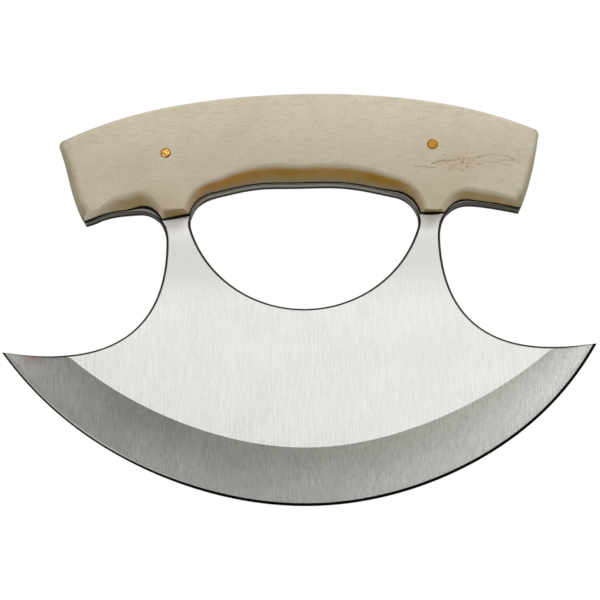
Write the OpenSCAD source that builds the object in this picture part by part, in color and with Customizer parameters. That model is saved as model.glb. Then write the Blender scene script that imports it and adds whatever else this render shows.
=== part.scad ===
// Ulu: a curved-edge knife whose steel plate runs up through the handle as a full tang.
// Two bone scales are glued to the tang and held by two brass pins.
// The plate stands upright in the XZ plane with its cutting edge down, and its front faces -Y.

/* [Blade] */
// Width of the blade from tip to tip
blade_w = 170; // [160:1:180]
// Radius of the cutting edge
edge_r = 101.5; // [97:0.5:112]
// How far the lowest point of the edge sits right of the middle
belly_shift = 2.8; // [-4:0.2:4]
// How much higher than the middle of both the left tip lies, and how much lower the right one
tip_lean = 0.5; // [-2:0.1:2]
// Thickness of the steel plate
plate_t = 3.2; // [2.4:0.1:4.8]
// Width of the ground bevel at the middle
grind_w = 16.4; // [12:0.2:20]
// Width of the ground bevel near the left tip
left_grind_w = 14.4; // [9:0.2:18]
// Width of the ground bevel near the right tip
right_grind_w = 12; // [9:0.2:18]
// Thickness of the steel where the ground bevel ends
edge_t = 0.4; // [0.3:0.05:0.8]
// Width of the sharpened strip along the edge
sharpen_w = 0.7; // [0.4:0.1:1.4]
// Thickness left at the very edge
sharp_t = 0.1; // [0.05:0.05:0.2]

/* [Notches] */
// Distance of the left neck's outer side from the middle
left_neck_x = 37.8; // [36:0.2:41]
// Distance of the right neck's outer side from the middle
right_neck_x = 41.3; // [39.5:0.2:44]
// Height of the left neck's narrowest place
left_neck_z = 80.8; // [76:0.2:83]
// Height of the right neck's narrowest place
right_neck_z = 80.6; // [76:0.2:83]
// How far the left notch dips below the tip
left_notch_drop = 6.8; // [3:0.1:10]
// How far the right notch dips below the tip
right_notch_drop = 5; // [3:0.1:10]
// Height over which the left notch turns up into the neck
left_notch_rise = 25.7; // [18:0.1:28]
// Height over which the right notch turns up into the neck
right_notch_rise = 25; // [18:0.1:28]

/* [Finger hole] */
// Middle of the hole's round lower side, right of the middle
hole_x = 2.3; // [1:0.1:4]
// Height of the middle of the hole's round lower side
hole_z = 91.4; // [88:0.2:93]
// Radius of the hole's lower side
hole_r = 34.1; // [31:0.1:34.6]
// Radius of the hole's upper corners
hole_corner_r = 8.4; // [5:0.2:10]
// Place of the arch's crown, right of the middle
arch_x = 0.6; // [-1:0.1:4]
// Height of the top of the arch
arch_z = 95.1; // [94:0.1:98]
// Radius of the arch
arch_r = 113; // [90:1:150]

/* [Handle] */
// Height of the whole knife
handle_z = 121.7; // [116:0.5:128]
// Radius of the handle's top at its crown
top_r = 252; // [200:2:320]
// How much more than that arc the top falls towards the ends
top_fall = 3.9; // [0:0.1:5]
// Place of the crown of the handle's top, right of the middle
top_x = 1.8; // [-3:0.2:5]
// Distance of the left upper corner from the middle
left_end_x = 69.1; // [67:0.1:74]
// Distance of the right upper corner from the middle
right_end_x = 71.4; // [68:0.2:76]
// Distance of the left lower corner from the middle
left_foot_x = 61.4; // [59:0.2:64]
// Distance of the right lower corner from the middle
right_foot_x = 64.8; // [60:0.2:67]
// Height of the left lower corner
left_foot_z = 84.7; // [82:0.1:86]
// Height of the right lower corner
right_foot_z = 86; // [83:0.1:87.4]
// Distance of the top of the left underside from the middle
left_lobe_x = 48.2; // [46:0.2:52]
// Distance of the top of the right underside from the middle
right_lobe_x = 51; // [49:0.2:55]
// Height of the top of the left underside
left_lobe_z = 87.6; // [87:0.1:90]
// Height of the top of the right underside
right_lobe_z = 88; // [87.4:0.1:90]
// Size of the rounding of the upper corners
corner_w = 1.8; // [1:0.2:4]

/* [Scales] */
// Thickness of one bone scale
scale_t = 6.4; // [4.5:0.1:8]
// How far a scale's underside stops short of the tang's edge
seam_setback = 0.25; // [0.1:0.05:0.4]
// Rounding along the top
top_round = 1; // [0.5:0.1:2]
// Rounding at the left end
left_end_round = 2.4; // [0.6:0.1:3]
// Rounding at the right end
right_end_round = 1.2; // [0.6:0.1:3]
// Height of the slanted underside over the finger hole
arch_bevel = 3.7; // [1:0.1:5]
// Height of the slanted underside left of the left neck
left_lobe_bevel = 3.9; // [1:0.1:4.5]
// Height of the slanted underside right of the right neck
right_lobe_bevel = 2.8; // [1:0.1:4.5]
// Height of the slanted underside at the lower corners
foot_bevel = 2; // [0.5:0.1:3]
// Width of the slant along both sides of the necks
neck_bevel = 1; // [0.2:0.1:1.4]
// Square strip left beside the tang below the slant
bevel_land = 0.5; // [0.3:0.1:1]
// Height at which the scales stop across the left neck
left_shoulder_z = 85.8; // [85:0.1:86.6]
// Height at which the scales stop across the right neck
right_shoulder_z = 85.3; // [84.6:0.1:86]

/* [Pins] */
// Diameter of the pins
pin_d = 3.2; // [2:0.1:5]
// Gap around a pin in its bore
pin_gap = 0.02; // [0.01:0.01:0.05]
// Distance of the left pin from the middle
left_pin_x = 37.6; // [32:0.2:44]
// Distance of the right pin from the middle
right_pin_x = 39.9; // [34:0.2:46]
// How far the left pin lies below the crown of the handle's top
left_pin_drop = 18.3; // [15:0.2:22]
// How far the right pin lies below the crown of the handle's top
right_pin_drop = 17.3; // [14:0.2:21]

/* [Glue] */
// Thickness of the glue line
glue_t = 0.2; // [0.1:0.05:0.3]
// How far the glue line stops short of the tang's edge
glue_setback = 0.05; // [0.02:0.01:0.08]
// Height of the glue bead below the scales on the necks
glue_bead = 0.5; // [0.2:0.1:1]

/* [Hidden] */

steel = [0.80, 0.80, 0.80];
bone = [0.80, 0.76, 0.67];
brass = [0.76, 0.55, 0.26];
dark_epoxy = [0.12, 0.10, 0.08];

half_plate = plate_t / 2;
scale_y0 = half_plate + glue_t;
scale_y1 = scale_y0 + scale_t;
left_pin_z = handle_z - left_pin_drop;
right_pin_z = handle_z - right_pin_drop;
tip_angle = asin(blade_w / 2 / edge_r);
tip_z = edge_r * (1 - cos(tip_angle));
left_tip = [blade_w / 2, tip_z + tip_lean];
right_tip = [blade_w / 2, tip_z - tip_lean];
// Length by which cutters run past what they cut
past = 1;
// Gap between the rim cutter and a wall that it leaves alone
rim_gap = 0.02;
// Length by which the grinder runs past the edge and the plate's face
grind_gap = 0.25;
// Steps along one curve of an outline
edge_steps = 72;
curve_steps = 24;
turn_steps = 8;
// How strongly each curve leaves its ends, as a share of the distance that it spans
tip_pull = 0.77;
turn_pull = 0.6;
lobe_pull = 0.35;
end_pull = 0.36;
// How much more than a straight line each end of the handle leans out at its foot and at its head
left_leans = [1.8, 1.1];
right_leans = [1.65, 0.55];
// Where the slant over the hole ends and the length in which it fades, in half widths of the arch
slant_end = 1.3;
slant_run = 0.75;
// How the slant bends on its way up: 1 is a straight one, and 2 a round one
slant_curve = 1.3;
// Length in which the slant over the hole turns into the one on the necks' sides, in half widths
neck_run = 0.35;
// Height over which the tang's clear edge fades out at the handle's ends
seam_run = 4;
// Angle along the edge at which the bevel's side widths are taken, and how late it narrows
grind_angle = 45;
grind_bend = 3;
// Angle by which the grinder runs past the tips
grind_past = 4;

// Points of a cubic curve from a to d, pulled towards b and c, without the last point
function curve(a, b, c, d, n) = [
    for (i = [0 : n - 1])
        let (t = i / n, u = 1 - t)
        u * u * u * a + 3 * u * u * t * b + 3 * u * t * t * c + t * t * t * d
];

// Points on a circle about c from angle a to angle b, without the last point
function arc(c, r, a, b, n) = [
    for (i = [0 : n - 1])
        let (t = a + (b - a) * i / n)
        c + r * [cos(t), sin(t)]
];

function backwards(list) = [for (i = [len(list) - 1 : -1 : 0]) list[i]];
function flipped(list) = [for (p = list) [-p[0], p[1]]];
function clamp01(v) = min(1, max(0, v));
function smooth01(v) = let (t = clamp01(v)) t * t * (3 - 2 * t);

// Place on the cutting edge at an angle from straight down, moved by an inward distance
function edge_point(a, inward = 0) =
    let (z = edge_r * (1 - cos(a)), t = z / tip_z, u = sin(a) / sin(tip_angle))
    [edge_r * sin(a) + belly_shift * (1 - t) - inward * sin(a), z - tip_lean * t * u + inward * cos(a)];

// Height of the handle's top above a place on the middle line
function top_at(x) =
    handle_z - pow(x - top_x, 2) / (2 * top_r) - top_fall * pow((x - top_x) / right_end_x, 4);

// Outer side of one neck from the blade's tip to its narrowest place, seen on the right
function notch(tip, neck, drop, rise) =
    curve(tip, tip - [tip_pull * (tip[0] - neck[0]), drop], neck - [0, rise], neck, curve_steps);

// From the neck's narrowest place round the inner turn to the top of the underside
function turn(neck, lobe) =
    curve(neck, neck + turn_pull * [0, lobe[1] - neck[1]], lobe - turn_pull * [lobe[0] - neck[0], 0],
          lobe, turn_steps);

// From the top of the underside to the lower corner of the handle's end
function underside(lobe, foot) =
    let (d = foot - lobe)
    curve(lobe, lobe + lobe_pull * [d[0], 0], foot - lobe_pull * [d[0], d[1]], foot, turn_steps);

// The handle's end, which bulges a little, with its upper corner rounded
function handle_end(foot, end_x, corner, leans) =
    let (low = [end_x, top_at(corner) - corner_w], d = low - foot,
         join = [end_x - corner_w, top_at(sign(corner) * (end_x - corner_w))])
    concat(curve(foot, foot + end_pull * [d[0] * leans[0], d[1]],
                 low - end_pull * [d[0] * leans[1], d[1]], low, turn_steps),
           curve(low, low + [0, corner_w / 2], join + [corner_w / 2, 0], join, turn_steps / 2));

left_neck = [left_neck_x, left_neck_z];
right_neck = [right_neck_x, right_neck_z];
left_lobe = [left_lobe_x, left_lobe_z];
right_lobe = [right_lobe_x, right_lobe_z];
left_foot = [left_foot_x, left_foot_z];
right_foot = [right_foot_x, right_foot_z];

right_under = concat(turn(right_neck, right_lobe), underside(right_lobe, right_foot));
left_under = concat(turn(left_neck, left_lobe), underside(left_lobe, left_foot));
right_side = handle_end(right_foot, right_end_x, right_end_x, right_leans);
left_side = handle_end(left_foot, left_end_x, -left_end_x, left_leans);
top_from = right_end_x - corner_w;
top_to = corner_w - left_end_x;
top_line = [
    for (i = [0 : curve_steps])
        let (x = top_from + (top_to - top_from) * i / curve_steps)
        [x, top_at(x)]
];

// From the right neck round the handle to the left neck, against the clock
handle_line = concat(right_under, right_side, top_line,
                     backwards(flipped(left_side)), backwards(flipped(left_under)));

// The whole outline of the plate, against the clock from the left tip
plate_line = concat(
    [for (i = [0 : edge_steps - 1]) edge_point(tip_angle * (2 * i / edge_steps - 1))],
    notch(right_tip, right_neck, right_notch_drop, right_notch_rise),
    handle_line,
    backwards(flipped(notch(left_tip, left_neck, left_notch_drop, left_notch_rise))));

// The hole's corner circles touch its lower circle and its arch from inside
hole_c = [hole_x, hole_z];
arch_c = [arch_x, arch_z - arch_r];
apart = norm(hole_c - arch_c);
towards = (hole_c - arch_c) / apart;
along = (pow(hole_r - hole_corner_r, 2) - pow(arch_r - hole_corner_r, 2) + apart * apart) / (2 * apart);
across = sqrt(pow(hole_r - hole_corner_r, 2) - along * along);
right_corner = hole_c - along * towards + across * [towards[1], -towards[0]];
left_corner = hole_c - along * towards - across * [towards[1], -towards[0]];
function angle_of(v) = atan2(v[1], v[0]);
right_low = angle_of(right_corner - hole_c);
left_low = angle_of(left_corner - hole_c) + 360;
right_high = angle_of(right_corner - arch_c);
left_high = angle_of(left_corner - arch_c);

// The hole's upper side from its right corner over the arch to its left corner
arch_line = concat(
    arc(right_corner, hole_corner_r, right_low, right_high, turn_steps),
    arc(arch_c, arch_r, right_high, left_high, curve_steps),
    arc(left_corner, hole_corner_r, left_high, left_low, turn_steps),
    [hole_c + hole_r * [cos(left_low), sin(left_low)]]);
low_line = arc(hole_c, hole_r, left_low, right_low + 360, 2 * curve_steps);
hole_line = concat(arch_line, [for (i = [1 : len(low_line) - 1]) low_line[i]]);

// The handle with its two necks, against the clock from the right neck
grip_line = concat(handle_line, [[-left_neck_x, left_neck_z]], backwards(arch_line));

// Height of the slant of the underside at a place across the handle
arch_half = (right_corner[0] - left_corner[0]) / 2;
arch_middle = (right_corner[0] + left_corner[0]) / 2;
function arch_slant(x) =
    arch_bevel * smooth01((slant_end - abs(x - arch_middle) / arch_half) / slant_run);
function lobe_slant(x, neck_x, lobe_x, foot_x, bevel) =
    let (u = (x - neck_x) / (lobe_x - neck_x), v = (x - lobe_x) / (foot_x - lobe_x))
    x < lobe_x ? bevel * smooth01(u) : bevel + (foot_bevel - bevel) * smooth01(v);
function slant(x) =
    x > right_neck_x ? lobe_slant(x, right_neck_x, right_lobe_x, right_foot_x, right_lobe_bevel)
    : x < -left_neck_x ? lobe_slant(-x, left_neck_x, left_lobe_x, left_foot_x, left_lobe_bevel)
    : arch_slant(x);

// Sideways slant of the necks' sides at a place across the handle
function neck_side(x) =
    x > right_neck_x ? -neck_bevel * smooth01((right_lobe_x - x) / (right_lobe_x - right_neck_x))
    : x < -left_neck_x ? neck_bevel * smooth01((x + left_lobe_x) / (left_lobe_x - left_neck_x))
    : sign(x - arch_middle) * neck_bevel
      * smooth01((abs(x - arch_middle) / arch_half - slant_end + neck_run) / neck_run);

// Sideways rounding of the handle's ends, which grows from the undersides' tops to the corners
function end_side(x) =
    x < -left_lobe_x ? left_end_round * clamp01((-left_lobe_x - x) / (left_end_x - left_lobe_x))
    : x > right_lobe_x ? -right_end_round * clamp01((x - right_lobe_x) / (right_end_x - right_lobe_x))
    : 0;

// How far the outer face of a scale lies inside its seam with the tang, as a shift of one point
// of its outline: inwards at the ends and necks, down at the top and up along the underside
upper_z = (arch_z + handle_z) / 2;
function is_upper(p) = p[1] > upper_z;
function face_shift(p) =
    let (t = smooth01((p[1] - arch_z) / (upper_z - arch_z)), is_end = end_side(p[0]) != 0)
    [is_end ? end_side(p[0]) : (1 - t) * neck_side(p[0]), (1 - t) * slant(p[0]) - t * top_round];

// Depth over which that shift is made, measured from the outer face
function face_depth(p) =
    let (t = smooth01((p[1] - arch_z) / (upper_z - arch_z)))
    (1 - t) * (scale_t - bevel_land) + t * min(2 * top_round, scale_t - bevel_land);
// Share of the shift in each direction at a rounding angle: round sideways and at the top, and
// nearly straight along the underside
function shift_share(p, a) =
    let (t = smooth01((p[1] - arch_z) / (upper_z - arch_z)), round = 1 - cos(a))
    [round, t * round + (1 - t) * pow(sin(a), slant_curve)];

// Outline moved up along the underside by a distance, so that the tang's edge stands clear
function set_back(line, d) = [
    for (p = line) p + [0, is_upper(p) ? 0 : d * smooth01((upper_z - p[1]) / seam_run)]
];

// A solid from an outline in the XZ plane, between two places along Y
module slab(line, y0, y1) {
    translate([0, y1, 0]) rotate([90, 0, 0]) linear_extrude(y1 - y0) polygon(line);
}

// Rounding steps from the side wall to the outer face, as angles
round_angles = [0, 30, 60, 90];

// What is taken off a slab along its rim to round and slant it: a closed ring of cross sections,
// each with the rounded profile on its inside and a square outside
module rim(line) {
    n = len(line);
    top_y = scale_y1 + past;
    sections = [
        for (i = [0 : n - 1])
            let (p = line[i], d = line[(i + 1) % n] - line[(i + n - 1) % n], out = [d[1], -d[0]] / norm(d),
                 shift = face_shift(p), depth = face_depth(p), base = p + rim_gap * out,
                 wall = p + past * out, face = base + shift)
            concat([[wall[0], -(scale_y1 - depth), wall[1]]],
                   [for (a = round_angles)
                       let (g = shift_share(p, a), q = base + [shift[0] * g[0], shift[1] * g[1]])
                       [q[0], -(scale_y1 - depth * (1 - sin(a))), q[1]]],
                   [[face[0], -top_y, face[1]], [wall[0], -top_y, wall[1]]])
    ];
    m = len(sections[0]);
    faces = [
        for (i = [0 : n - 1], k = [0 : m - 1])
            let (a = m * i, b = m * ((i + 1) % n), j = (k + 1) % m)
            each [[a + k, b + k, b + j], [a + k, b + j, a + j]]
    ];
    polyhedron([for (c = sections) each c], faces);
}

// What is taken off below the handle on both necks, a drop lower than the scales' ends
module below_shoulders(drop) {
    deep = scale_y1 + past;
    left_x = (left_neck_x + left_lobe_x) / 2;
    right_x = (right_neck_x + right_lobe_x) / 2;
    translate([-left_x, -deep, 0]) cube([hole_x + left_x, 2 * deep, left_shoulder_z - drop]);
    translate([hole_x, -deep, 0]) cube([right_x - hole_x, 2 * deep, right_shoulder_z - drop]);
}

// A cylinder along Y through the handle
module cross_rod(x, z, d) {
    translate([x, 0, z]) rotate([90, 0, 0]) cylinder(d = d, h = 2 * scale_y1, center = true, $fn = 48);
}

module pin_bores() {
    for (side = [[-left_pin_x, left_pin_z], [right_pin_x, right_pin_z]])
        translate([side[0], 0, side[1]])
            rotate([90, 0, 0])
                cylinder(d = pin_d + 2 * pin_gap, h = 2 * (scale_y1 + past), center = true, $fn = 48);
}

// Width of the ground bevel at an angle along the edge
function grind_at(a) =
    grind_w - (grind_w - (a < 0 ? left_grind_w : right_grind_w)) * pow(abs(a) / grind_angle, grind_bend);

// What a grinder takes off the front along the edge: a slope from half_out at the edge to half_in
// at a distance inwards, which is grind_at scaled by a share or a fixed width
module ground_off(half_in, half_out, width = 0) {
    reach = tip_angle + grind_past;
    n = edge_steps;
    rows = [
        for (i = [0 : n])
            let (a = reach * (2 * i / n - 1), w = width > 0 ? width : grind_at(a),
                 rise = (half_in - half_out) / w, deep = edge_point(a, w + grind_gap / rise),
                 out = edge_point(a, -grind_gap))
            [[out[0], -(half_out - grind_gap * rise), out[1]],
             [deep[0], -(half_in + grind_gap), deep[1]],
             [out[0], -(half_in + grind_gap), out[1]]]
    ];
    faces = [
        for (i = [0 : n - 1], k = [0 : 2])
            let (j = (k + 1) % 3, a = 3 * i, b = 3 * (i + 1))
            each [[a + k, b + k, b + j], [a + k, b + j, a + j]]
    ];
    polyhedron([for (r = rows) each r],
               concat(faces, [[0, 1, 2]], [[3 * n + 2, 3 * n + 1, 3 * n]]));
}

module blade() {
    color(steel) difference() {
        slab(plate_line, -half_plate, half_plate);
        slab(hole_line, -half_plate - past, half_plate + past);
        for (side = [0, 1]) mirror([0, side, 0]) {
            ground_off(half_plate, edge_t / 2);
            ground_off(edge_t / 2 + (half_plate - edge_t / 2) * sharpen_w / grind_w, sharp_t / 2, sharpen_w);
        }
        pin_bores();
    }
}

module front_scale() {
    line = set_back(grip_line, seam_setback);
    color(bone) difference() {
        slab(line, -scale_y1, -scale_y0);
        rim(line);
        below_shoulders(0);
        pin_bores();
    }
}

module rear_scale() {
    mirror([0, 1, 0]) front_scale();
}

module left_pin() {
    color(brass) cross_rod(-left_pin_x, left_pin_z, pin_d);
}

module right_pin() {
    color(brass) cross_rod(right_pin_x, right_pin_z, pin_d);
}

module front_glue() {
    color(dark_epoxy) difference() {
        slab(set_back(grip_line, glue_setback), -scale_y0, -half_plate);
        below_shoulders(glue_bead);
        pin_bores();
    }
}

module rear_glue() {
    mirror([0, 1, 0]) front_glue();
}

blade();
front_scale();
rear_scale();
left_pin();
right_pin();
front_glue();
rear_glue();
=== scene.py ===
import bmesh
import bpy
import numpy as np
from mathutils import Matrix, Vector
from mathutils.geometry import tessellate_polygon


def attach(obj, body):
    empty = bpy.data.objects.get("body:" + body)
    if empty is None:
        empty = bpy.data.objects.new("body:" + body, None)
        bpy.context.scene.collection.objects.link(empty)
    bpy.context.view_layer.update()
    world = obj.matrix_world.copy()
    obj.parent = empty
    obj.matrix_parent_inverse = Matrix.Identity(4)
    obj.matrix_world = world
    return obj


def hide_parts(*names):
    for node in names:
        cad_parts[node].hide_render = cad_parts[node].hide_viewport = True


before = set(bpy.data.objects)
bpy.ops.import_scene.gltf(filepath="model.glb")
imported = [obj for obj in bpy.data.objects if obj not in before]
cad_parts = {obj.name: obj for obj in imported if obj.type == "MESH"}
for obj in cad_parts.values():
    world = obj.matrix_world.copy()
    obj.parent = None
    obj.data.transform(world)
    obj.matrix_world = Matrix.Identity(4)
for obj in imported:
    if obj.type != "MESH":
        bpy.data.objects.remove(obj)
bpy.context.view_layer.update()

# Camera
# It looks square on from 600 mm away and from a little below the knife, up at the plate by
# 17.5 degrees, and it is turned by 1.2 degrees about its own line of sight.
aim, away_by = np.array([0.0005, 0.0, 0.06035]), 0.6
climb, roll = np.radians(17.5), np.radians(1.2)
sensor_w, lens_px, image_px = 36.0, 2085.0, 600.0
forward = np.array([0.0, np.cos(climb), np.sin(climb)])
level_up = np.array([0.0, -np.sin(climb), np.cos(climb)])
level_right = np.array([1.0, 0.0, 0.0])
turn_to = np.eye(4)
turn_to[:3, 0] = np.cos(roll) * level_right - np.sin(roll) * level_up
turn_to[:3, 1] = np.sin(roll) * level_right + np.cos(roll) * level_up
turn_to[:3, 2], turn_to[:3, 3] = -forward, aim - away_by * forward
camera = bpy.data.objects.new("camera", bpy.data.cameras.new("camera"))
camera.data.sensor_width, camera.data.lens = sensor_w, sensor_w * lens_px / image_px
camera.matrix_world = Matrix(turn_to.tolist())
bpy.context.scene.collection.objects.link(camera)
bpy.context.scene.camera = camera
bpy.context.scene.view_settings.view_transform = "Standard"

# Floor, room and lamps
# A pale floor that the knife's edge just touches, seen from above only, since the camera looks
# from under it. A white room, a key lamp high in front, and a grey flag for the steel to mirror.


def put(tree, kind, inputs=None, **settings):
    """One shader node. Settings go on the node. An input takes a link or a value, and a colour is
    given by three numbers."""
    made = tree.nodes.new(kind)
    for name, value in settings.items():
        setattr(made, name, value)
    for key, value in (inputs or {}).items():
        if isinstance(value, bpy.types.NodeSocket):
            tree.links.new(value, made.inputs[key])
        else:
            made.inputs[key].default_value = (*value, 1.0) if made.inputs[key].type == "RGBA" else value
    return made


def sums(tree, operation, *values, clamp=False):
    """The result of one Math node on one, two or three numbers or sockets."""
    made = put(tree, "ShaderNodeMath", dict(enumerate(values)), operation=operation, use_clamp=clamp)
    return made.outputs[0]


def new_material(name, shown):
    """A material with an empty tree, shown in that colour in the viewport, and its tree."""
    made = bpy.data.materials.new(name)
    made.use_nodes = True
    made.node_tree.nodes.clear()
    made.diffuse_color = (*shown, 1.0)
    return made, made.node_tree


def surface(tree, kind, inputs):
    """The shader that a material's tree ends with, linked to its output."""
    shader = put(tree, kind, inputs)
    put(tree, "ShaderNodeOutputMaterial", {"Surface": shader.outputs[0]})
    return shader


def add_piece(name, points, faces, materials=(), shade=()):
    """An object at the origin from points in mm and faces, with its materials and a material number
    for each face."""
    mesh = bpy.data.meshes.new(name)
    mesh.from_pydata((np.asarray(points) / 1000.0).tolist(), [], faces)
    for made in materials:
        mesh.materials.append(made)
    if len(shade):
        mesh.polygons.foreach_set("material_index", np.asarray(shade, dtype=np.int32))
    made = bpy.data.objects.new(name, mesh)
    bpy.context.scene.collection.objects.link(made)
    return made


def grid_faces(rows, columns, first=0, closed=False):
    """Quads between the points of a grid numbered row by row, joined round when it is closed."""
    r, c = np.meshgrid(np.arange(rows - 1), np.arange(columns - (not closed)), indexing="ij")
    r, n = r * columns, (c + 1) % columns
    quads = np.stack([r + c, r + n, r + columns + n, r + columns + c], axis=-1)
    return (quads.reshape(-1, 4) + first).tolist()


floor_half, floor_steps = 3000.0, 13
x, y = np.meshgrid(*[np.linspace(-floor_half, floor_half, floor_steps)] * 2)
floor_points = np.stack([x, y, np.zeros_like(x)], axis=-1).reshape(-1, 3)
floor = add_piece("floor", floor_points, grid_faces(floor_steps, floor_steps))
paper, tree = new_material("floor_paper", (0.85, 0.85, 0.84))
matt = put(tree, "ShaderNodeBsdfDiffuse", {"Color": (0.82, 0.82, 0.815), "Roughness": 0.6})
clear = put(tree, "ShaderNodeBsdfTransparent")
below = put(tree, "ShaderNodeNewGeometry").outputs["Backfacing"]
surface(tree, "ShaderNodeMixShader", {0: below, 1: matt.outputs[0], 2: clear.outputs[0]})
floor.data.materials.append(paper)

room_level = 0.78
room = bpy.data.worlds.new("white_room")
room.use_nodes = True
tree = room.node_tree
tree.nodes.clear()
path = put(tree, "ShaderNodeLightPath").outputs
seen = sums(tree, "MAXIMUM", path["Is Camera Ray"],
            sums(tree, "MAXIMUM", path["Is Glossy Ray"], path["Is Transmission Ray"]))
soft, white = (
    put(tree, "ShaderNodeBackground", {"Color": (1.0, 1.0, 1.0), "Strength": level}).outputs[0]
    for level in (room_level, 1.0))
both = put(tree, "ShaderNodeMixShader", {0: seen, 1: soft, 2: white})
put(tree, "ShaderNodeOutputWorld", {"Surface": both.outputs[0]})
bpy.context.scene.world = room

for name, at, size, power in (("key_lamp", (0.55, -1.05, 1.3), 1.1, 9.0),
                              ("side_lamp", (-1.5, 0.4, 1.1), 0.9, 4.0)):
    lamp = bpy.data.objects.new(name, bpy.data.lights.new(name, "AREA"))
    lamp.data.shape, lamp.data.size, lamp.data.energy = "DISK", size, power
    lamp.location = at
    lamp.rotation_euler = (Vector(at) - Vector(aim)).to_track_quat("Z", "Y").to_euler()
    lamp.visible_camera = False
    bpy.context.scene.collection.objects.link(lamp)

flag_y, flag_half, flag_steps, flag_grey = -2600.0, 2400.0, 49, (0.10, 0.10, 0.10)
flag_x = np.linspace(-flag_half, flag_half, flag_steps)
flag_top = 400.0 + 150.0 * np.tanh(-(flag_x + 100.0) / 350.0) - 0.02 * flag_x
flag_rows = [np.stack([flag_x, np.full(flag_steps, flag_y), z], axis=-1)
             for z in (np.full(flag_steps, 1.0), flag_top)]
flag = add_piece("grey_flag", np.concatenate(flag_rows), grid_faces(2, flag_steps))
cloth, tree = new_material("flag_cloth", flag_grey)
surface(tree, "ShaderNodeEmission", {"Color": flag_grey})
flag.data.materials.append(cloth)
flag.visible_camera = flag.visible_diffuse = flag.visible_shadow = False

# Blade
# One steel plate with its handle tang, cut out with two notches and a finger hole, its rims broken
# by a small chamfer. Both sides are ground towards the curved edge and honed in a narrow strip.
blade_w, edge_r, belly_shift, tip_lean = 170.0, 101.5, 2.8, 0.5
edge_waist, waist_end = 0.3, np.radians(48)
plate_t, grind_w, left_grind_w, right_grind_w, side_angle = 3.2, 16.4, 14.4, 12.0, np.radians(45)
edge_t, sharpen_w, sharp_t = 0.4, 0.9, 0.1
blade_chamfer, tang_chamfer, chamfer_z, chamfer_span = 0.75, 0.15, 83.0, 5.0
hole_c, hole_r, hole_corner_r = np.array([2.35, 91.7]), 34.32, 8.45
arch_z, arch_r, haunch = 95.23, 117.5, 0.48
arch_c = np.array([0.45, arch_z - arch_r])
handle_z, top_r, top_fall, top_x, corner_w = 121.69, 252.0, 3.9, 1.8, 1.1
pin_r, bore_r = 1.6, 1.62
left_pin, right_pin = np.array([-37.6, 103.4]), np.array([39.9, 104.4])
half_w, half_plate = blade_w / 2, plate_t / 2
tip_angle = np.arcsin(half_w / edge_r)
tip_z = edge_r * (1 - np.cos(tip_angle))

# Both sides as distances from the middle: places on the outline, then what each curve is made from,
# with a notch's drop and rise, the curves' pulls and the ends' leans
left_tip, right_tip = np.array([half_w, tip_z + tip_lean]), np.array([half_w, tip_z - tip_lean])
left_neck, right_neck = np.array([37.9, 78.3]), np.array([41.5, 77.75])
left_lobe, right_lobe = np.array([45.6, 87.9]), np.array([50.2, 88.6])
left_foot, right_foot = np.array([61.4, 84.7]), np.array([64.8, 86.0])
left_end_x, right_end_x = 68.8, 71.1
left_notch, right_notch = (left_tip, left_neck, 7.15, 21.8), (right_tip, right_neck, 5.3, 21.15)
left_turn, right_turn = (left_neck, left_lobe, 0.47, 0.7), (right_neck, right_lobe, 0.53, 0.7)
left_under, right_under = (left_lobe, left_foot, 0.68, 0.21), (right_lobe, right_foot, 0.28, 0.0)
left_leans, right_leans = (1.8, 1.1), (1.65, 0.55)


def waist(a):
    """How much flatter than a circle the edge runs: a squared sine of the angle, most half way to
    the waist's end."""
    return edge_waist * np.sin(np.pi * np.clip(np.abs(a) / waist_end, 0, 1)) ** 2


def edge_point(a, inward=0.0):
    """Place on the cutting edge at an angle from straight down, moved inwards along its radius: a
    flattened circle whose lowest point is shifted sideways and whose tips lean a little."""
    inward = inward + waist(a)
    z = edge_r * (1 - np.cos(a))
    t, u = z / tip_z, np.sin(a) / np.sin(tip_angle)
    return np.stack([edge_r * np.sin(a) + belly_shift * (1 - t) - inward * np.sin(a),
                     z - tip_lean * t * u + inward * np.cos(a)], axis=-1)


def edge_place(points):
    """Angle and inward distance of places on the plate: edge_point turned round, by taking the shift
    and lean off again and again."""
    a = np.arctan2(points[:, 0], edge_r - points[:, 1])
    for _ in range(12):
        t, u = edge_r * (1 - np.cos(a)) / tip_z, np.sin(a) / np.sin(tip_angle)
        x, z = points[:, 0] - belly_shift * (1 - t), points[:, 1] + tip_lean * t * u
        a = np.arctan2(x, edge_r - z)
    return a, edge_r - np.hypot(x, edge_r - z) - waist(a)


def grind_at(a):
    """Width of the ground bevel: its middle width, less a share that grows with the third power of
    the angle to reach the side width at 45 degrees."""
    side = np.where(a < 0, left_grind_w, right_grind_w)
    return grind_w - (grind_w - side) * np.minimum(np.abs(a), tip_angle) ** 3 / side_angle ** 3


def half_thickness(a, s):
    """Half of the plate's thickness: the lowest of the plate, the ground slope and the honed slope."""
    ground = edge_t / 2 + (half_plate - edge_t / 2) * s / grind_at(a)
    honed_in = edge_t / 2 + (half_plate - edge_t / 2) * sharpen_w / grind_w
    honed = sharp_t / 2 + (honed_in - sharp_t / 2) * s / sharpen_w
    return np.minimum(half_plate, np.minimum(ground, honed))


def ease(v):
    """0 below 0, 1 above 1, and t t (3 - 2 t) between."""
    v = np.clip(v, 0, 1)
    return v * v * (3 - 2 * v)


def chamfer_at(z):
    """Width of a rim's chamfer at a height: wide on the blade and the necks, narrow on the handle."""
    return blade_chamfer + (tang_chamfer - blade_chamfer) * ease((z - chamfer_z) / chamfer_span)


def curve(a, b, c, d, t):
    """Cubic from a to d pulled to b and c: u^3 a + 3 u^2 t b + 3 u t^2 c + t^3 d, with u = 1 - t."""
    t = np.asarray(t)[:, None]
    u = 1 - t
    return u ** 3 * a + 3 * u * u * t * b + 3 * u * t * t * c + t ** 3 * d


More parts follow.
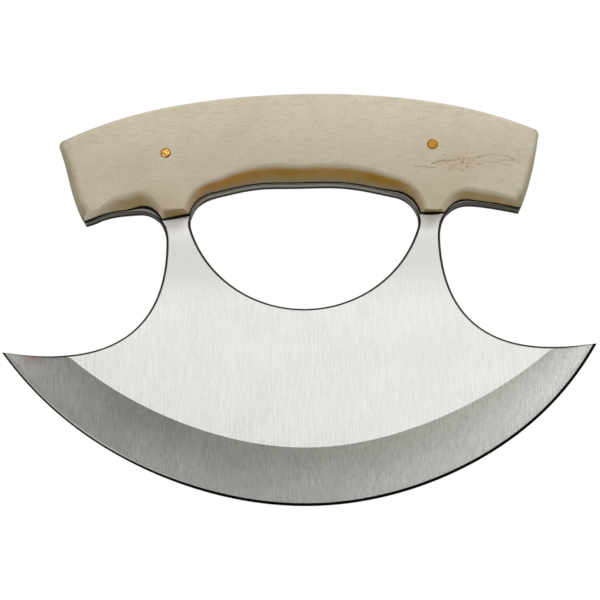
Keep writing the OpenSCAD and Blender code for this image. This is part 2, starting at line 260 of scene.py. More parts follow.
def arc(centre, r, start, end, count):
    """Even points on a circle from one angle to another, both ends included."""
    a = np.linspace(start, end, count)
    return centre + r * np.stack([np.cos(a), np.sin(a)], axis=-1)


def flipped(points):
    return points * [-1, 1]


def notch(tip, neck, drop, rise, t):
    """From the blade's tip to the neck's narrowest place: it leaves inwards and down, and arrives
    straight up."""
    return curve(tip, tip - [0.77 * (tip[0] - neck[0]), drop], neck - [0, rise], neck, t)


def turn(neck, lobe, rise, run, t):
    """From the neck round its inner turn to the top of the underside."""
    d = lobe - neck
    return curve(neck, neck + [0, rise * d[1]], lobe - [run * d[0], 0], lobe, t)


def underside(lobe, foot, run, back, t):
    """From the top of the underside out to the handle's lower corner."""
    d = foot - lobe
    return curve(lobe, lobe + [run * d[0], 0], foot - back * d, foot, t)


def top_at(x):
    """Height of the handle's top: an arc, with a fall of the fourth power towards the ends."""
    return handle_z - (x - top_x) ** 2 / (2 * top_r) - top_fall * ((x - top_x) / right_end_x) ** 4


def handle_end(foot, end_x, side, leans, t):
    """The handle's end, which bulges a little, up to its rounded upper corner."""
    low = np.array([end_x, top_at(side * end_x) - corner_w])
    join = np.array([end_x - corner_w, top_at(side * (end_x - corner_w))])
    d = low - foot
    return np.vstack([
        curve(foot, foot + 0.36 * d * [leans[0], 1], low - 0.36 * d * [leans[1], 1], low, t)[:-1],
        curve(low, low + [0, corner_w / 2], join + [corner_w / 2, 0], join, np.linspace(0, 1, 9))])


t_turn, t_end = np.linspace(0, 1, 25), np.linspace(0, 1, 28)
right_end = handle_end(right_foot, right_end_x, 1, right_leans, t_end)
left_end = flipped(handle_end(left_foot, left_end_x, -1, left_leans, t_end))
top_xs = np.linspace(right_end[-1, 0], left_end[-1, 0], 91)
top_line = np.stack([top_xs, top_at(top_xs)], axis=-1)
handle_line = np.vstack([
    turn(*right_turn, t_turn)[1:-1], underside(*right_under, t_turn)[:-1],
    right_end[:-1], top_line[:-1], left_end[:0:-1],
    flipped(underside(*left_under, t_turn))[:0:-1], flipped(turn(*left_turn, t_turn))[:0:-1]])

# The corners' centres lie where two circles meet: the hole's and the arch's, each a corner smaller
apart = np.linalg.norm(hole_c - arch_c)
towards, low_r, high_r = (hole_c - arch_c) / apart, hole_r - hole_corner_r, arch_r - hole_corner_r
along = (low_r ** 2 - high_r ** 2 + apart ** 2) / (2 * apart)
beside = np.sqrt(low_r ** 2 - along ** 2) * np.array([towards[1], -towards[0]])
right_corner, left_corner = hole_c - along * towards + beside, hole_c - along * towards - beside
right_low, left_low, right_high, left_high = (np.arctan2(*(corner - centre)[::-1]) for centre in (
    hole_c, arch_c) for corner in (right_corner, left_corner))
left_low += 2 * np.pi


def arch(start, end, count):
    """The hole's upper side: an arc raised in both haunches by a squared sine of the distance from
    its middle, which is back to nothing at both ends."""
    line = arc(arch_c, arch_r, start, end, count)
    off = line[:, 0] - arch_c[0]
    wide = arch_r * np.where(off < 0, -np.cos(left_high), np.cos(right_high))
    line[:, 1] += haunch * np.sin(np.pi * np.clip(np.abs(off) / wide, 0, 1)) ** 2
    return line


hole_line = np.vstack([
    arc(right_corner, hole_corner_r, right_low, right_high, 30)[:-1],
    arch(right_high, left_high, 90)[:-1],
    arc(left_corner, hole_corner_r, left_high, left_low, 30)[:-1],
    arc(hole_c, hole_r, left_low, right_low + 2 * np.pi, 120)[:-1]])


def inward_normals(line, closed=False):
    """Unit normals on the left of a line's direction, from the two neighbours of each point."""
    ring = np.pad(line, ((1, 1), (0, 0)), "wrap" if closed else "edge")
    d = ring[2:] - ring[:-2]
    return np.stack([-d[:, 1], d[:, 0]], axis=-1) / np.linalg.norm(d, axis=1)[:, None]


tip_steps, neck_steps = 30, 90


def notch_shares(cut, side):
    """Steps along a notch: narrowing to the tip from where the ground bevel's inner line meets it, which
    is read from a fine row, and even from there to the neck."""
    t = np.linspace(0, 0.6, 3001)
    a, s = edge_place(notch(*cut, t) * [side, 1])
    cross = np.interp(0.0, s - grind_at(a), t)
    return np.concatenate([
        np.linspace(0, 1, tip_steps) ** 1.3 * cross, np.linspace(cross, 1, neck_steps)[1:]])


rim_line = np.vstack([notch(*right_notch, notch_shares(right_notch, 1)), handle_line,
                      flipped(notch(*left_notch, notch_shares(left_notch, -1)))[::-1]])
rim_half = half_thickness(*edge_place(rim_line))
rim_in = chamfer_at(rim_line[:, 1]) * rim_half / half_plate
rim_in[[0, -1]] = 0
inset_line = rim_line + rim_in[:, None] * inward_normals(rim_line)
inset_a, inset_s = edge_place(inset_line)
inset_half = half_thickness(inset_a, inset_s)

# The bevel's grid: its columns follow the inset notch near the tips and run evenly between them
mid_a = np.linspace(inset_a[-tip_steps], inset_a[tip_steps - 1], 181)[1:-1]
column_a, column_s = (
    np.concatenate([rim[::-1][:tip_steps], middle, rim[:tip_steps][::-1]])
    for rim, middle in ((inset_a, mid_a), (inset_s, grind_at(mid_a))))
honed_rows, ground_rows = 3, 12
row_s = np.concatenate([
    np.minimum(np.linspace(0, sharpen_w, honed_rows)[:, None], column_s),
    np.minimum(sharpen_w, column_s)
    + np.maximum(column_s - sharpen_w, 0) * np.linspace(0, 1, ground_rows + 1)[1:, None]])
bevel_a = np.broadcast_to(column_a, row_s.shape)
bevel_xz = edge_point(bevel_a, row_s)
bevel_half = half_thickness(bevel_a, row_s)

flat_edge = np.vstack([bevel_xz[-1, tip_steps - 1:-tip_steps], bevel_xz[-1, -tip_steps:-tip_steps + 1],
                       inset_line[tip_steps:-tip_steps]])
hole_in = chamfer_at(hole_line[:, 1])
hole_inset = hole_line - hole_in[:, None] * inward_normals(hole_line, closed=True)
bores = [arc(centre, bore_r, 0, 2 * np.pi, 49)[:-1] for centre in (left_pin, right_pin)]
flat_loops = [flat_edge, hole_inset, *bores]
flat_tris = tessellate_polygon([[(p[0], p[1], 0.0) for p in loop] for loop in flat_loops])

parts, faces, shade, edge_gap = [], [], [], []
flat_no, rim_no, honed_no, wall_no, bevel_no = range(5)
no_edge = 50.0


def at_depth(xz, y):
    """Places on the plate's plane set at a depth, which is one number or one for each."""
    return np.stack([xz[..., 0], np.broadcast_to(y, xz.shape[:-1]), xz[..., 1]], axis=-1)


def take(points, number, gap=no_edge, closed=False, quads=None):
    """Adds a grid of points, or points and their faces, with a material number and the distances from
    the cutting edge."""
    start = sum(map(len, parts))
    quads = quads or grid_faces(*points.shape[:2], closed=closed)
    parts.append(points.reshape(-1, 3))
    faces.extend((np.asarray(q) + start).tolist() for q in quads)
    shade.extend(np.broadcast_to(number, len(quads)).tolist())
    edge_gap.append(np.broadcast_to(np.ravel(gap), len(parts[-1])))


def take_rim(outer, outer_half, inner, inner_half, cut, closed=False):
    """Adds a rim in five rows across, from the front face over its chamfer, the wall and the rear
    chamfer to the rear face."""
    rows = np.stack([
        at_depth(inner, -inner_half), at_depth(outer, cut - outer_half), at_depth(outer, 0.0),
        at_depth(outer, outer_half - cut), at_depth(inner, inner_half)])
    take(rows, np.repeat([rim_no, wall_no, wall_no, rim_no], len(outer) - (not closed)), closed=closed)


for side in (-1, 1):
    sheet = at_depth(bevel_xz, side * bevel_half)
    take(sheet[:honed_rows], honed_no, row_s[:honed_rows])
    take(sheet[honed_rows - 1:], bevel_no, row_s[honed_rows - 1:])
    take(at_depth(np.vstack(flat_loops), side * half_plate), flat_no, quads=flat_tris)
take(np.stack([at_depth(bevel_xz[0], side * bevel_half[0]) for side in (-1, 1)]), honed_no, 0.0)
take_rim(rim_line, rim_half, inset_line, inset_half, rim_in)
take_rim(hole_line, half_plate, hole_inset, half_plate, hole_in, closed=True)
for bore in bores:
    take(np.stack([at_depth(bore, y) for y in (-half_plate, half_plate)]), rim_no, closed=True)


def object_place(tree):
    """The object's own coordinates in metres, together and one by one."""
    place = put(tree, "ShaderNodeTexCoord").outputs["Object"]
    return (place, *put(tree, "ShaderNodeSeparateXYZ", {0: place}).outputs)


def own(tree, name):
    """A value that the mesh's points carry."""
    return put(tree, "ShaderNodeAttribute", attribute_name=name).outputs["Fac"]


def noise(tree, place, scale, detail, rough=0.5, output="Fac"):
    """Noise of a scale at a place."""
    return put(tree, "ShaderNodeTexNoise", {
        "Vector": place, "Scale": scale, "Detail": detail, "Roughness": rough}).outputs[output]


def fade(tree, value, low, high, to_low=0.0, to_high=1.0):
    """A value eased from one range to another."""
    return put(tree, "ShaderNodeMapRange", {
        "Value": value, "From Min": low, "From Max": high, "To Min": to_low, "To Max": to_high
    }, interpolation_type="SMOOTHSTEP").outputs["Result"]


def times(tree, *shares):
    """The product of several shares."""
    result = shares[0]
    for share in shares[1:]:
        result = sums(tree, "MULTIPLY", result, share)
    return result


def layered(tree, tone, *layers, kind="MIX"):
    """A colour under others, each laid over the ones before with its share."""
    for share, colour in layers:
        tone = put(tree, "ShaderNodeMix", {0: share, 6: tone, 7: colour},
                   data_type="RGBA", blend_type=kind).outputs[2]
    return tone


def bumped(tree, height, strength, distance, **under):
    """A normal tilted by a height, over another one where it is given."""
    given = {"Strength": strength, "Distance": distance, "Height": height, **under}
    return put(tree, "ShaderNodeBump", given).outputs[0]


def new_group(name, given, results):
    """An empty node group with its inputs and outputs by name and kind, and the sockets inside it."""
    group = bpy.data.node_groups.new(name, "ShaderNodeTree")
    for way, sockets in (("INPUT", given), ("OUTPUT", results)):
        for label, kind in sockets.items():
            group.interface.new_socket(name=label, in_out=way, socket_type=f"NodeSocket{kind}")
    return group, put(group, "NodeGroupInput").outputs, put(group, "NodeGroupOutput").inputs


# Fine straight scratches left by a belt: noise drawn out along Z and held narrow across it, and the
# same about eight times broader
belt, given, result = new_group("belt_lines", {"Spacing": "Float", "Length": "Float"},
                                {"Lines": "Float", "Broad": "Float"})
_, x, y, z = object_place(belt)
x, y = (sums(belt, "DIVIDE", axis, given["Spacing"]) for axis in (x, y))
z = sums(belt, "DIVIDE", z, given["Length"])
for scale, name in ((1.0, "Lines"), (0.12, "Broad")):
    spot = put(belt, "ShaderNodeCombineXYZ", {0: times(belt, x, scale), 1: times(belt, y, scale), 2: z})
    belt.links.new(noise(belt, spot.outputs[0], 1.0, 3.0, 0.6), result[name])


def steel(name, colour, dull, rough, marked=1.0, metal=1.0, gloss=0.5):
    """Steel: a bright tone, and a dull one in slow patches, with belt lines and specks that change its
    colour and its surface a little. Marked is how strong they are, and a rim painted black as shade
    has no metal."""
    made, tree = new_material(name, colour)
    lines = put(tree, "ShaderNodeGroup", {"Spacing": 0.0003, "Length": 0.005}, node_tree=belt).outputs
    place, *_ = object_place(tree)
    cloudy, specks = noise(tree, place, 60.0, 5.0, 0.6), noise(tree, place, 2400.0, 2.0)
    tone = layered(
        tree, colour,
        (fade(tree, cloudy, 0.4, 0.75), dull),
        (fade(tree, lines["Lines"], 0.3, 0.75, 0.0, 0.22 * marked), (0.3, 0.3, 0.29)),
        (fade(tree, lines["Broad"], 0.35, 0.7, 0.0, 0.025 * marked), (0.4, 0.4, 0.38)),
        (fade(tree, specks, 0.4, 0.7, 0.0, 0.12 * marked), (0.3, 0.3, 0.29)))
    shader = surface(tree, "ShaderNodeBsdfPrincipled", {
        "Base Color": tone, "Metallic": metal, "Specular IOR Level": gloss,
        "Roughness": fade(tree, cloudy, 0.3, 0.7, rough, rough + 0.03),
        "Normal": bumped(tree, lines["Lines"], 0.02, 0.0001)})
    return made, tree, tone, shader.inputs


# The flats, with painted shade in the middle heights, painted light just below the necks that
# makes up for the handle's shadow there, and a darker line where the necks meet the scales
flat_steel, tree, tone, shader = steel(
    "flat_steel", (0.89, 0.883, 0.843), (0.85, 0.843, 0.803), 0.2, 0.8)
*_, z = object_place(tree)
tone = layered(tree, tone,
               (fade(tree, z, 0.058, 0.072), (0.695, 0.69, 0.653)),
               (fade(tree, z, 0.0765, 0.0825, 0.0, 0.9), (0.85, 0.845, 0.81)),
               (fade(tree, z, 0.0848, 0.0860), (0.36, 0.34, 0.29)))
for name, value in (("Base Color", tone), ("Roughness", fade(tree, z, 0.077, 0.084, 0.2, 0.5)),
                    ("Metallic", fade(tree, z, 0.077, 0.086, 1.0, 0.3))):
    tree.links.new(value, shader[name])

# The bevel, with a painted darker reflection that grows away from the edge, and a painted reddish
# reflection near the left tip
bevel_steel, tree, tone, shader = steel(
    "bevel_steel", (0.98, 0.985, 0.935), (0.93, 0.935, 0.885), 0.2, 1.45)
place, x, _, z = object_place(tree)
away = fade(tree, own(tree, "edge_gap"), 2.0, 16.0)
tone = layered(tree, tone, (away, (0.72, 0.725, 0.68)), kind="MULTIPLY")
# painted reddish reflection near the left tip
painted_red_reflection = times(tree, fade(tree, x, -0.080, -0.0765), fade(tree, x, -0.0700, -0.0735),
             fade(tree, z, 0.040, 0.044),
             fade(tree, noise(tree, place, 220.0, 4.0), 0.35, 0.65, 0.1, 0.75))
tree.links.new(layered(tree, tone, (painted_red_reflection, (0.62, 0.47, 0.40))), shader["Base Color"])

# The honed strip, painted black as a dark reflection up to a distance in mm from its edge that
# grows from the left tip
honed_steel, tree, tone, shader = steel("honed_steel", (0.60, 0.605, 0.57), (0.52, 0.525, 0.49), 0.24)
_, x, *_ = object_place(tree)
width = fade(tree, x, -0.060, -0.020, 0.48, 0.8)
beyond = fade(tree, sums(tree, "SUBTRACT", own(tree, "edge_gap"), width), -0.08, 0.08)
tree.links.new(layered(tree, (0.004, 0.006, 0.006), (beyond, tone)), shader["Base Color"])

# The rims and walls, painted near black and dark grey as shade on these narrow faces. Below the
# handle's middle a wall is paler over the hole, darker beside the necks, brown in the left neck's
# inner turn, and painted darkest in its rear half as the rear scale's shadow.
rim_steel, *_ = steel("rim_steel", (0.014, 0.014, 0.014), (0.006, 0.006, 0.005), 0.5, 0.5, 0.0, 0.04)
wall_steel, tree, tone, shader = steel(
    "wall_steel", (0.16, 0.15, 0.12), (0.10, 0.09, 0.06), 0.5, 0.5, 0.0, 0.06)
place, x, y, z = object_place(tree)
low = times(tree, fade(tree, x, -0.0618, -0.0606), fade(tree, x, 0.0652, 0.0640),
            fade(tree, z, 0.0985, 0.0970))
over_hole = fade(tree, sums(tree, "ABSOLUTE", x), 0.032, 0.024)
turned = times(tree, fade(tree, x, -0.056, -0.042), fade(tree, x, -0.033, -0.036), low,
               fade(tree, noise(tree, place, 420.0, 4.0), 0.35, 0.6, 0.6, 1.0))
tone = layered(
    tree, tone,
    (times(tree, low, over_hole, 0.55), (0.34, 0.325, 0.29)),
    (times(tree, low, fade(tree, x, -0.034, -0.046, 0.0, 0.4)), (0.07, 0.065, 0.05)),
    (times(tree, low, fade(tree, x, 0.040, 0.046, 0.0, 0.75)), (0.045, 0.038, 0.026)),
    (turned, (0.022, 0.016, 0.009)),
    # painted shade: darkest in the rear half, for the rear scale's shadow
    (times(tree, low, fade(tree, y, 0.0, 0.0009, 0.0, 0.97)), (0.005, 0.004, 0.003)))
tree.links.new(tone, shader["Base Color"])


def close_shell(piece, crease, near=5e-7):
    """Joins points that lie together, turns all faces outwards and splits the shading at creases."""
    shell = bmesh.new()
    shell.from_mesh(piece.data)
    bmesh.ops.remove_doubles(shell, verts=shell.verts, dist=near)
    bmesh.ops.dissolve_degenerate(shell, edges=shell.edges, dist=near)
    bmesh.ops.recalc_face_normals(shell, faces=shell.faces)
    shell.to_mesh(piece.data)
    shell.free()
    piece.data.set_sharp_from_angle(angle=np.radians(crease))
    return piece


blade = add_piece("ulu_blade", np.vstack(parts), faces,
                  (flat_steel, rim_steel, honed_steel, wall_steel, bevel_steel), shade)
gaps = blade.data.attributes.new("edge_gap", "FLOAT", "POINT")
gaps.data.foreach_set("value", np.concatenate(edge_gap).astype(np.float32))
close_shell(blade, 3.5)
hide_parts("blade")
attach(blade, "root")

# Glue lines
# A thin film of dark epoxy beds each scale on the tang. It shows as a line along the seam and as a
# small bead squeezed out below the scales on the two necks.
glue_t, glue_drop, glue_setback = 0.2, 0.5, {"front": 0.3, "rear": 0.06}
bead_r, bead_low, bead_out, bead_steps, bead_sides = 0.6, 0.12, 0.12, 24, 12
upper_z = (arch_z + handle_z) / 2
shoulders = {  # heights beside the tang and at the outer face: left neck's outer and hole side, right's
    "front": ((85.3, 86.7, 85.7, 85.7), (85.8, 86.2, 84.8, 84.8)),
    "rear": ((86.0, 86.4, 86.2, 86.0), (86.4, 86.8, 86.6, 86.4))}
under_steps, turn_steps, corner_steps, arch_steps, cut_steps = 25, 22, 28, 90, 8
cut_reach, foot_reach, end_reach = 5.0, 4.0, 30.0
# Where the lower side's three runs stand back more beside the necks: distance from the middle, half
# width, width of the easing, and how much more on the left and on the right
more_back = (43.0, 7.0, 6.0, 1.9, 1.9), (36.0, 13.0, 11.0, 0.35, 1.0), (44.5, 9.0, 6.0, 0.7, 0.7)


def part_turn(turned, z):
    """The part of a neck's inner turn that lies above a height."""
    t = np.linspace(0, 1, 400)
    return turn(*turned, np.linspace(np.interp(z, turn(*turned, t)[:, 1], t), 1, turn_steps))


def grip_sides(heights, setback, drop=0.0):
    """The four sides of the handle with its necks cut off: the lower one from left to right, the
    upper one with as many points, and both ends upwards. The lower one stands back from the tang
    along its normals, further in beside the necks, and is slid along there to end at their cuts."""
    z = np.array(heights) - drop
    a_left = np.pi - np.arcsin((z[1] - left_corner[1]) / hole_corner_r)
    a_right = np.arcsin((z[3] - right_corner[1]) / hole_corner_r)
    t = np.linspace(0, 1, under_steps)
    runs = [
        np.vstack([flipped(underside(*left_under, t))[::-1],
                   flipped(part_turn(left_turn, z[0]))[-2::-1]]),
        np.vstack([arc(left_corner, hole_corner_r, a_left, left_high, corner_steps),
                   arch(left_high, right_high, arch_steps)[1:-1],
                   arc(right_corner, hole_corner_r, right_high, a_right, corner_steps)]),
        np.vstack([part_turn(right_turn, z[2])[:-1], underside(*right_under, t)])]
    for k, (run, (middle, half, over, more_left, more_right)) in enumerate(zip(runs, more_back)):
        more = np.where(run[:, 0] < 0, more_left, more_right)
        near = ease((half - np.abs(np.abs(run[:, 0]) - middle)) / over) * more
        runs[k] = run + (setback * (1 + near))[:, None] * inward_normals(run)
    for run, end, cut in ((0, -1, z[0]), (1, 0, z[1]), (1, -1, z[3]), (2, 0, z[2])):
        far = np.linalg.norm(runs[run] - runs[run][end], axis=1)
        runs[run][:, 1] += (cut - runs[run][end, 1]) * (1 - ease(far / cut_reach))
    between = np.linspace(0, 1, cut_steps + 2)[1:-1, None]
    cuts = [a[-1] * (1 - between) + b[0] * between for a, b in zip(runs, runs[1:])]
    lower = np.vstack([runs[0], cuts[0], runs[1], cuts[1], runs[2]])
    share = np.linspace(0, 1, len(lower))
    lean = (lower[:, 0] - lower[0, 0]) / (lower[-1, 0] - lower[0, 0])
    x = left_end[-1, 0] + (right_end[-1, 0] - left_end[-1, 0]) * (0.75 * lean + 0.25 * share)
    ends = [end + (foot - end[0]) * (1 - ease((end[:, 1:] - end[0, 1]) / foot_reach))
            for end, foot in ((right_end, lower[-1]), (left_end, lower[0]))]
    return [lower, ends[0], np.stack([x, top_at(x)], axis=-1), ends[1]]


def ring_of(sides):
    """What goes with the four sides, joined to one ring against the clock, each corner once."""
    lower, right, upper, left = sides
    return np.concatenate([lower[:-1], right[:-1], upper[:0:-1], left[:0:-1]])


def span(sides):
    """A patch between four sides, and each point's share v of the height. Straight lines from lower to
    upper are moved sideways near both ends by what the end curves differ from their chords, over
    30 mm, and follow the upper side down or up as they move."""
    lower, right, upper, left = sides
    u = np.linspace(0, 1, len(lower))
    v = sum(share * ((end[:, 1:] - end[0, 1]) / (end[-1, 1] - end[0, 1]))
            for share, end in ((1 - u, left), (u, right)))
    patch = (1 - v[..., None]) * lower + v[..., None] * upper
    for end, column in ((left, 0), (right, -1)):
        fall = 1 - ease(np.abs(patch[..., 0] - patch[:, [column], 0]) / end_reach)
        move = fall * (end[:, :1] - patch[:, [column], 0])
        patch[..., 0] += move
        patch[..., 1] += v * (np.interp(upper[:, 0] + move, upper[:, 0], upper[:, 1]) - upper[:, 1])
    patch[:, 0], patch[:, -1], patch[0], patch[-1] = left, right, lower, upper
    return patch, v


def joined(*sheets):
    """Points and quads of several grids in one mesh, each given with whether it closes round."""
    points, quads, start = [], [], 0
    for grid, closed in sheets:
        points.append(grid.reshape(-1, 3))
        quads += grid_faces(*grid.shape[:2], first=start, closed=closed)
        start += len(points[-1])
    return np.vstack(points), quads


def bead(line):
    """A bead along a line at the tang's face: a slightly flattened tube that narrows at both ends."""
    a = np.linspace(0, 2 * np.pi, bead_sides, endpoint=False)
    size = bead_r * np.sin(np.pi * np.linspace(0.04, 0.96, len(line))) ** 0.35
    ring = np.stack([0 * a, np.cos(a), 0.9 * np.sin(a)], axis=-1)
    return at_depth(line, 0.0)[:, None] + size[:, None, None] * ring


# Dark epoxy for the glue lines, also laid on the rear scale's land as painted shade
epoxy, tree = new_material("dark_epoxy", (0.03, 0.025, 0.02))
place, *_ = object_place(tree)
specks = noise(tree, place, 900.0, 3.0)
tone = layered(tree, (0.004, 0.003, 0.003), (fade(tree, specks, 0.4, 0.75), (0.020, 0.014, 0.009)))
surface(tree, "ShaderNodeBsdfPrincipled", {
    "Base Color": tone, "Normal": bumped(tree, specks, 0.3, 0.0001), "Specular IOR Level": 0.06,
    "Roughness": fade(tree, specks, 0.3, 0.7, 0.45, 0.65)})

for name, side in (("front", -1), ("rear", 1)):
    sides = grip_sides(shoulders[name][0], glue_setback[name], drop=glue_drop)
    patch, _ = span(sides)
    depths = side * half_plate, side * (half_plate + glue_t)
    walls = np.stack([at_depth(ring_of(sides), y) for y in depths])
    points, quads = joined(*[(at_depth(patch, y), False) for y in depths], (walls, True))
    film = close_shell(add_piece(f"{name}_glue_line", points, quads, (epoxy,)), 30)
    z = shoulders[name][0]
    share = np.linspace(0, 1, bead_steps)[:, None]
    beads = []
    for x0, x1, z0, z1 in ((-38.7, -30.9, z[0], z[1]), (36.6, 41.9, z[3] - 0.15, z[2] - 0.15)):
        line = [x0, z0] + np.array([x1 - x0, z1 - z0]) * share - [0, bead_low]
        beads.append((bead(line) + [0, side * (half_plate + bead_out), 0], True))
    points, quads = joined(*beads)
    for row in (0, bead_steps - 1, bead_steps, 2 * bead_steps - 1):
        quads.append((np.arange(bead_sides) + row * bead_sides).tolist())
    drops = close_shell(add_piece(f"{name}_glue_beads", points, quads, (epoxy,)), 40)
    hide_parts(f"{name}_glue")
    for piece in (film, drops):
        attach(piece, "root")

# Scales
# Two slabs of bone, sawn to the tang's outline, glued and pinned. Their undersides slant back from
# the tang in a scallop over the hole and one beside each neck, and their faces are slightly crowned.
scale_y0, scale_y1, edge_drop, crown_h, land = half_plate + glue_t, 8.2, 0.42, 0.32, 0.5
face_y = scale_y1 - edge_drop
seam_setback, top_round, left_end_round, right_end_round = {"front": 0.6, "rear": 0.04}, 1.0, 2.8, 1.5
# The slants' heights: over the hole, with how far it reaches, in both lobes, at both feet, and at the
# necks' cuts. Over the hole is a dip and a rise, each with its place, half width and share.
slants = {"front": (3.1, 1.5, 2.2, 1.2, 0.6, 0.9, 0.8), "rear": (3.9, 1.5, 3.9, 3.4, 2.7, 2.7, 1.5)}
arch_dip, arch_rise = (-24.0, 13.0, 0.26), (-7.0, 9.0, 0.10)
arch_half, arch_middle = (right_corner[0] - left_corner[0]) / 2, (right_corner[0] + left_corner[0]) / 2
left_peak, right_peak = 48.6, 51.5
left_round, right_round, low_left_round = (50.0, 11.4), (53.0, 11.8), 1.9
# The lower side's last column before each neck's cut
left_cut = under_steps + turn_steps - 2
right_cut = left_cut + cut_steps + 2 * corner_steps + arch_steps - 2
mark_names = "slant_depth", "arch_slant", "lobe_slant", "end_side", "neck_end", "top_side"


def face_shift(side_line, heights, is_lower):
    """How far the outer face lies inside the seam at places on the outline: in at the ends and necks,
    down at the top, up along the underside, where a lobe's slant eases in from the neck to its peak and
    out to the foot. Also the share of top, and of arch, lobe and neck's end."""
    arch_h, reach, left_h, right_h, left_foot_h, right_foot_h, cut_h = heights
    x, z = side_line.T
    t = ease((z - arch_z) / (upper_z - arch_z))
    outward, dx, off = np.sign(x), np.abs(x), np.abs(x - arch_middle) / arch_half
    dip, rise = (share * ease(1 - np.abs(x - at) / half) for at, half, share in (arch_dip, arch_rise))
    arch = ease((reach - off) / 0.75) * (1 - dip + rise)
    left_in = low_left_round + (left_end_round - low_left_round) * ease((z - 85) / 25)
    neck, peak, foot, lobe_h, foot_h, round_x, round_w, end_in, strength = (
        np.where(x < 0, at_left, at_right) for at_left, at_right in (
            (left_neck[0], right_neck[0]), (left_peak, right_peak), (left_foot[0], right_foot[0]),
            (left_h, right_h), (left_foot_h, right_foot_h), *zip(left_round, right_round),
            (left_in, right_end_round), (0.82, 1.0)))
    beside = dx > neck
    lobe = np.where(dx < peak, lobe_h * ease(1.25 * (dx - neck) / (peak - neck)),
                    lobe_h + (foot_h - lobe_h) * ease((dx - peak) / (foot - peak)))
    lobe = lobe * np.where(dx > foot, 1 - ease((z - 86) / 5), 1)
    slant = np.where(beside, lobe, arch_h * arch)
    at_cut = np.where(beside, -outward * ease((peak - dx) / (peak - neck)),
                      np.sign(x - arch_middle) * ease((off - 0.95) / 0.35))
    end = -outward * ease((dx - round_x) / round_w) * end_in
    sideways = np.where(end != 0, end, (1 - t) * cut_h * at_cut)
    shift = np.stack([sideways, (1 - t) * slant - t * top_round], axis=-1)
    in_arch = np.where(beside, 0, ease((1.65 - off) / 0.6)) * (1 - t)
    in_lobe = np.where(beside, strength * lobe / lobe_h, 0) * (1 - t)
    at_neck = 0 * t
    if is_lower:  # the necks' straight cuts take what their ends have
        share = np.linspace(0, 1, cut_steps + 2)
        for first, most in ((left_cut, 1.0), (right_cut, 0.8)):
            cut = slice(first, first + cut_steps + 2)
            for row in (*shift.T, in_arch, in_lobe):
                row[cut] = (1 - share) * row[cut][0] + share * row[cut][-1]
            at_neck[cut] = most * ease(0.25 + 4 * np.minimum(share, 1 - share))
    return shift, t, in_arch, in_lobe, at_neck


# Steps of a slant that runs straight and then rounds over into the face, and of a quarter round,
# each as a share of the shift and a share of the depth
b, bend_from, bend_past = np.linspace(0, 1, 13)[1:, None], np.array([0.62, 0.62]), np.array([1.35, 1])
slant_steps = np.vstack([np.linspace(0, 1, 7)[:, None] * bend_from,
                         (1 - b) ** 2 * bend_from + 2 * b * (1 - b) * [1, 1] + b ** 2 * bend_past])
q = np.linspace(0, np.pi / 2, len(slant_steps))
round_steps = np.stack([1 - np.cos(q), np.sin(q)], axis=-1)


def border_masks(shape, side_marks, depth):
    """Masks of a patch: a plain depth inside, and along its four sides what the rim beside it has."""
    sheet = np.zeros((*shape, 1 + side_marks[0].shape[1]))
    sheet[..., 0] = depth
    lower, right, upper, left = (np.insert(marks, 0, depth, axis=1) for marks in side_marks)
    sheet[:, 0], sheet[:, -1], sheet[0], sheet[-1] = left, right, lower, upper
    return sheet


def scale_mesh(name, side):
    """One scale. Its rim is the outline carried inwards by the steps, from the seam over the square
    land and the slant to the face. The face is the patch between them, crowned by 1 - |2v - 1|^2.4."""
    seam, outer = (grip_sides(heights, seam_setback[name]) for heights in shoulders[name])
    rims, side_marks = [], []
    for k, (inner, out_side) in enumerate(zip(seam, outer)):
        shift, t, in_arch, in_lobe, at_neck = face_shift(out_side, slants[name], k == 0)
        on_end = np.full(len(t), k % 2)
        side_marks.append(np.stack([in_arch, in_lobe, on_end, at_neck, t], axis=-1))
        total, t = out_side + shift - inner, t[:, None]
        depth = (1 - t) * (face_y - scale_y0 - land) + t * 2 * top_round
        extra = np.linalg.norm(shift, axis=1)[:, None]
        rows = [at_depth(inner, scale_y0)]
        for (w, d), (round_w, round_d) in zip(slant_steps, round_steps):
            w = np.where(w > 1, 1 + (w - 1) * np.minimum(1, 1.5 / np.maximum(extra, 0.1)) * 1.6, w)
            share, deep = (1 - t) * w + t * round_w, (1 - t) * d + t * round_d
            rows.append(at_depth(inner + total * share, (face_y - depth * (1 - deep))[:, 0]))
        rims.append(rows)
    ring = np.stack([ring_of(row) for row in zip(*rims)])
    ring_marks = ring_of(side_marks)
    rim_masks = np.stack([np.insert(ring_marks, 0, depth, axis=1)
                          for depth in (1.0, *(1 - slant_steps[:, 1]))])
    patch, v = span([rows[-1][:, [0, 2]] for rows in rims])
    u = (patch[..., 0] - patch[:, :1, 0]) / (patch[:, -1:, 0] - patch[:, :1, 0])
    crown = (1 - np.abs(2 * v - 1) ** 2.4) * (1 - np.abs(2 * u - 1) ** 8)
    back, _ = span(seam)
    points, faces = joined((ring, True), (at_depth(patch, face_y + crown_h * crown), False),
                           (at_depth(back, scale_y0), False))
    masks = np.concatenate([sheet.reshape(-1, len(mark_names)) for sheet in (
        rim_masks, border_masks(v.shape, side_marks, 0.0), border_masks(v.shape, side_marks, 1.0))])
    shade = np.zeros(len(faces), dtype=np.int32)
    shade[:len(seam[0]) - 1] = side > 0  # the rear scale's land along its lower side takes the dark epoxy as painted shade
    piece = add_piece(f"{name}_bone_scale", points * [1, side, 1], faces, (bone, epoxy), shade)
    for mark, values in zip(mark_names, masks.T):
        made = piece.data.attributes.new(mark, "FLOAT", "POINT")
        made.data.foreach_set("value", values.astype(np.float32))
    return close_shell(piece, 32)
